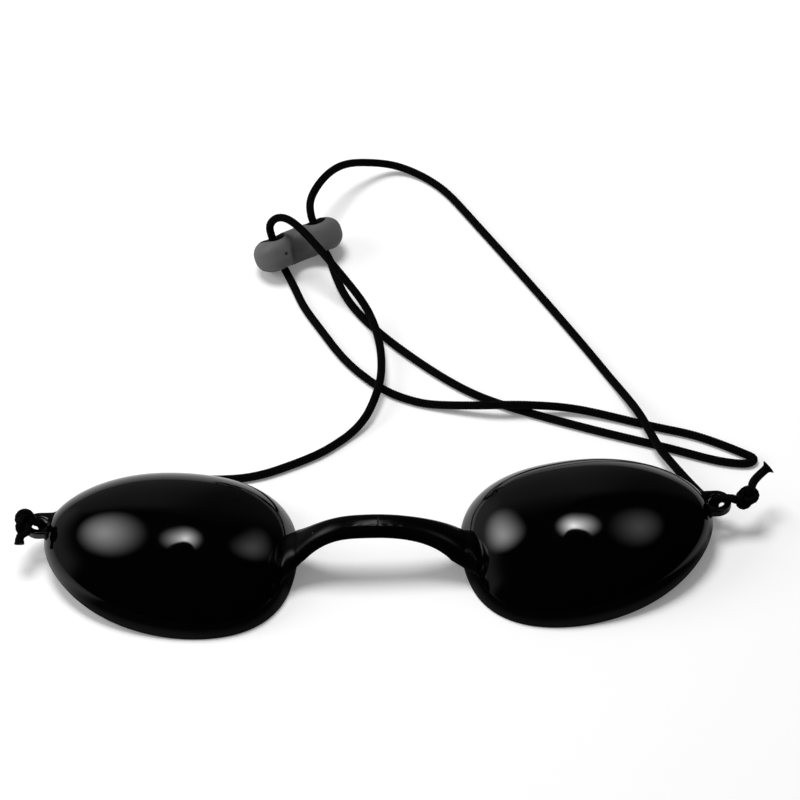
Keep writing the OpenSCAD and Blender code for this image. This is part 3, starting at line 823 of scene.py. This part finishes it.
def addLock():
    # The body less its two holes, remeshed and smoothed so that its edges are rounded.
    body = skin("lockBody", solidLock() * mm, lockRubber)
    cutters = [holeCutter(side) for side in (-1, 1)]
    for cutter in cutters:
        cut = body.modifiers.new("hole", "BOOLEAN")
        cut.operation, cut.solver, cut.object = "DIFFERENCE", "EXACT", cutter
    even = body.modifiers.new("even", "REMESH")
    even.mode, even.voxel_size, even.use_smooth_shade = "VOXEL", lock["voxel"] * mm, True
    ease = body.modifiers.new("ease", "SMOOTH")
    ease.factor, ease.iterations = lock["smoothing"]
    bpy.context.view_layer.update()
    shape = bpy.data.meshes.new_from_object(body.evaluated_get(bpy.context.evaluated_depsgraph_get()))
    finishLock(shape)
    place = np.eye(4)
    place[:3, 0], place[:3, 1], place[:3, 2] = lockAlong, lockDepth, lockAxis
    place[:3, 3] = np.array(lock["middle"]) * mm
    shape.transform(Matrix(place.tolist()))
    shape.polygons.foreach_set("use_smooth", np.ones(len(shape.polygons), bool))
    for o in [body, *cutters]:
        bpy.data.objects.remove(o)
    shape.materials.clear()
    shape.materials.append(lockRubber)
    piece = addObject("cordLock", shape)
    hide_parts("cord_lock")
    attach(piece, "lock")
    print("lock faces:", len(shape.polygons))


addLock()
print("cord lock shaped")


# Stage and light
studio = {
    "floorSize": 3000, "floorTone": 0.92,
    "floorGlow": 0.14, "floorGlowRun": (250, 500),  # glow to the camera, and where it grows to 1
    "floorFront": (0.13, 0.01), "frontRun": (1.0, 1.6),  # how pale gloss sees it in front of a rim
    "floorBehind": (0.8, -0.6, 0.08),  # the same behind: share, power of the distance, and the rest
    "behindFrom": (-5, 20),  # where front turns into behind, along Y
    "sidesFrom": 55, "sidesMiddle": 10, "sidesSlope": 0.9,  # out at the sides that turn comes forward
    "ambient": 0.24,  # brightness of the world on a matt surface
    # What gloss sees of the world, by direction: brightness of the wall behind and its climb along Y, its
    # fading along X, then the wall at the left, how far up it goes, and where the dark front begins.
    "wallBehind": 0.1, "wallClimb": (0.56, 0.76), "wallFades": (-0.1, 0.3, 1.0, 0.35),
    "wallLeft": 0.2, "leftClimb": (-0.3, -0.7), "leftTop": (0.6, 0.2), "leftFront": (-0.35, -0.05),
    "lampAim": (0, 30, 0),
    "lamps": [  # place, size, watts
        ((-120, 200, 740), 360, 4.0), ((-560, 60, 330), 400, 1.4)],
    # Soft cards, each seen only in the gloss of one side's pieces: side, middle, half across, half down,
    # brightness, power of the falloff, and a round gap with its middle and its half sizes.
    "cards": [
        ("left", (15, 105, 498), (106, 54, -19), (-24, -137, 31), 14.5, 1, ((-0.1, 0.97), (0.6, 0.8))),
        ("right", (-8, 98, 500), (111, -71, 22), (18, -134, 28), 20.5, 1, ((0.08, 0.97), (0.57, 0.8))),
        ("left", (-138, 29, 155), (71, -8, 43), (-24, -91, 7), 5.0, 1.5, None),
        ("right", (-96, 80, 95), (27, -17, 55), (-23, -43, 12), 4.8, 1.5, None),
        ("left", (82, 60, 93), (30, 18, -53), (14, -34, 10), 0.9, 1.5, None),
        ("right", (115, -9, 147), (53, -4, -26), (16, -70, -9), 1.05, 1.5, None)],
    "gapEdge": (0.92, 1.08),  # where the gap begins and ends, in its half sizes
    "cardsSeenBy": {
        "left": ("leftCupShell", "leftCordTab", "leftStrapHalf", "leftCordKnot", "leftCordRun", "cordLock"),
        "right": ("rightCupShell", "rightCordTab", "rightStrapHalf", "rightCordKnot", "rightCordRun",
                  "adjustmentLoop")},
}


def addFlat(name, corners, material):
    mesh = bpy.data.meshes.new(name)
    mesh.from_pydata(corners, [], [(0, 1, 2, 3)])
    mesh.materials.append(material)
    return addObject(name, mesh)


def addFloor(s):
    # A pale floor. Straight to the camera it also glows a little, so that it comes out white.
    # In gloss it darkens towards the camera, as a table does before a dark room.
    material, tree, shader = newMaterial("paleFloor", {"Roughness": 0.9, "Specular IOR Level": 0.1})
    path = addNode(tree, "LightPath")
    place = addNode(tree, "TexCoord").outputs["Object"]
    axes = addNode(tree, "SeparateXYZ", {0: place})
    x, y = axes.outputs["X"], axes.outputs["Y"]
    away = addNode(tree, "VectorMath", {0: place}, operation="LENGTH").outputs["Value"]
    glowStart, glowEnd = s["floorGlowRun"]
    brim = ramp(tree, away, glowStart * mm, glowEnd * mm, s["floorGlow"], curve="LINEAR")
    glow = calc(tree, "MULTIPLY", path.outputs["Is Camera Ray"], brim)
    # Distance from the nearer cup's middle, where that cup's rim counts as 1.
    fromCup = calc(tree, "ADD", calc(tree, "ABSOLUTE", x), -cup["pitch"] / 2 * mm)
    oval = addNode(tree, "CombineXYZ", {"X": fromCup, "Y": y}).outputs[0]
    halves = (2 / mm / cup["length"], 2 / mm / cup["width"], 0)
    stretch = addNode(tree, "VectorMath", {0: oval, 1: halves}, operation="MULTIPLY").outputs["Vector"]
    far = addNode(tree, "VectorMath", {0: stretch}, operation="LENGTH").outputs["Value"]
    front = ramp(tree, far, *s["frontRun"], *s["floorFront"])
    share, power, rest = s["floorBehind"]
    rear = calc(tree, "MULTIPLY_ADD", calc(tree, "POWER", far, power), share, rest)
    aside = calc(tree, "ABSOLUTE", calc(tree, "SUBTRACT", x, s["sidesMiddle"] * mm))
    past = calc(tree, "MAXIMUM", calc(tree, "SUBTRACT", aside, s["sidesFrom"] * mm), 0.0)
    backward = calc(tree, "MULTIPLY_ADD", past, s["sidesSlope"], y)
    rearStart, rearEnd = s["behindFrom"]
    inGloss = mix(tree, "FLOAT", ramp(tree, backward, rearStart * mm, rearEnd * mm), front, rear)
    tone = mix(tree, "FLOAT", path.outputs["Is Glossy Ray"], s["floorTone"], inGloss)
    feed(tree, shader, {"Base Color": tone, "Emission Color": (1, 1, 1, 1), "Emission Strength": glow})
    h = s["floorSize"] / 2 * mm
    floor = addFlat("floor", [(-h, -h, 0), (h, -h, 0), (h, h, 0), (-h, h, 0)], material)


def aimed(place, target):
    # A turn that points an object's -Z at the target.
    back = unit(np.array(place, float) - np.array(target, float))
    right = unit(np.cross([0.0, 1.0, 0.001], back))
    matrix = np.eye(4)
    matrix[:3, 0], matrix[:3, 1], matrix[:3, 2] = right, np.cross(back, right), back
    matrix[:3, 3] = np.array(place) * mm
    return Matrix(matrix.tolist())


def addLamps(s):
    # Soft lamps that light the pieces and the floor, and don't show in their gloss.
    for i, (place, size, watts) in enumerate(s["lamps"]):
        data = bpy.data.lights.new(f"softLamp{i}", "AREA")
        data.shape, data.size, data.energy = "DISK", size * mm, watts
        lamp = addObject(f"softLamp{i}", data)
        lamp.matrix_world = aimed(place, s["lampAim"])
        lamp.visible_glossy = False


def cardGlow(name, bright, power, gap, gapEdge):
    # Fades with the distance r from the card's middle, as (1 - r ** power) squared, around a dark gap.
    material = bpy.data.materials.new(name)
    material.use_nodes = True
    tree = material.node_tree
    tree.nodes.clear()
    place = addNode(tree, "UVMap", uv_map="onCard").outputs["UV"]
    far = addNode(tree, "VectorMath", {0: place}, operation="LENGTH").outputs["Value"]
    fade = calc(tree, "SUBTRACT", 1.0, calc(tree, "POWER", far, power), use_clamp=True)
    level = calc(tree, "MULTIPLY", calc(tree, "POWER", fade, 2.0), bright)
    if gap:
        (gapX, gapY), (gapWide, gapHigh) = gap
        offset = addNode(tree, "VectorMath", {0: place, 1: (gapX, gapY, 0)}, operation="SUBTRACT")
        shrink = {0: offset.outputs["Vector"], 1: (1 / gapWide, 1 / gapHigh, 0)}
        scaled = addNode(tree, "VectorMath", shrink, operation="MULTIPLY").outputs["Vector"]
        gapAway = addNode(tree, "VectorMath", {0: scaled}, operation="LENGTH").outputs["Value"]
        level = calc(tree, "MULTIPLY", level, ramp(tree, gapAway, *gapEdge))
    glow = addNode(tree, "Emission", {"Strength": level})
    clear = addNode(tree, "BsdfTransparent")
    both = addNode(tree, "AddShader", {0: glow.outputs[0], 1: clear.outputs[0]})
    addNode(tree, "OutputMaterial", {"Surface": both.outputs[0]})
    return material


def addCards(s):
    # Flat cards that glow in the gloss of their own side's pieces alone.
    gloss = {}
    for word, names in s["cardsSeenBy"].items():
        gloss[word] = bpy.data.collections.new(word + "Gloss")
        for name in names:
            gloss[word].objects.link(bpy.data.objects[name])
    corners = np.array([(-1, -1), (1, -1), (1, 1), (-1, 1)])
    for i, (word, middle, across, down, bright, power, gap) in enumerate(s["cards"]):
        name = f"glowCard{i}"
        points = np.array(middle) + corners @ np.array([across, down])
        glow = cardGlow(name, bright, power, gap, s["gapEdge"])
        card = addFlat(name, (points * mm).tolist(), glow)
        layer = card.data.uv_layers.new(name="onCard")
        layer.data.foreach_set("uv", corners.astype(np.float32).ravel())
        card.visible_camera = card.visible_diffuse = card.visible_shadow = False
        card.light_linking.receiver_collection = gloss[word]


def addWorld(s):
    # White to the camera. Gloss sees a dim wall behind, a low one at the left, and a dark front and roof.
    world = bpy.data.worlds.new("studio")
    bpy.context.scene.world = world
    world.use_nodes = True
    tree = world.node_tree
    direction = addNode(tree, "TexCoord").outputs["Generated"]
    axes = addNode(tree, "SeparateXYZ", {0: direction})
    x, y, z = (axes.outputs[k] for k in "XYZ")
    climb = ramp(tree, y, *s["wallClimb"], high=s["wallBehind"])
    behind = calc(tree, "MULTIPLY", climb, ramp(tree, x, *s["wallFades"]))
    left = ramp(tree, x, *s["leftClimb"], high=s["wallLeft"])
    lowLeft = calc(tree, "MULTIPLY", left, ramp(tree, z, *s["leftTop"]))
    beside = calc(tree, "MULTIPLY", lowLeft, ramp(tree, y, *s["leftFront"]))
    path = addNode(tree, "LightPath")
    wall = calc(tree, "MAXIMUM", behind, beside)
    lit = mix(tree, "FLOAT", path.outputs["Is Glossy Ray"], s["ambient"], wall)
    seen = mix(tree, "FLOAT", path.outputs["Is Camera Ray"], lit, 1.0)
    feed(tree, tree.nodes["Background"], {"Color": (1, 1, 1, 1), "Strength": seen})


addFloor(studio)
addLamps(studio)
addCards(studio)
addWorld(studio)
bpy.context.scene.view_settings.view_transform = "Standard"
print("stage and light set")
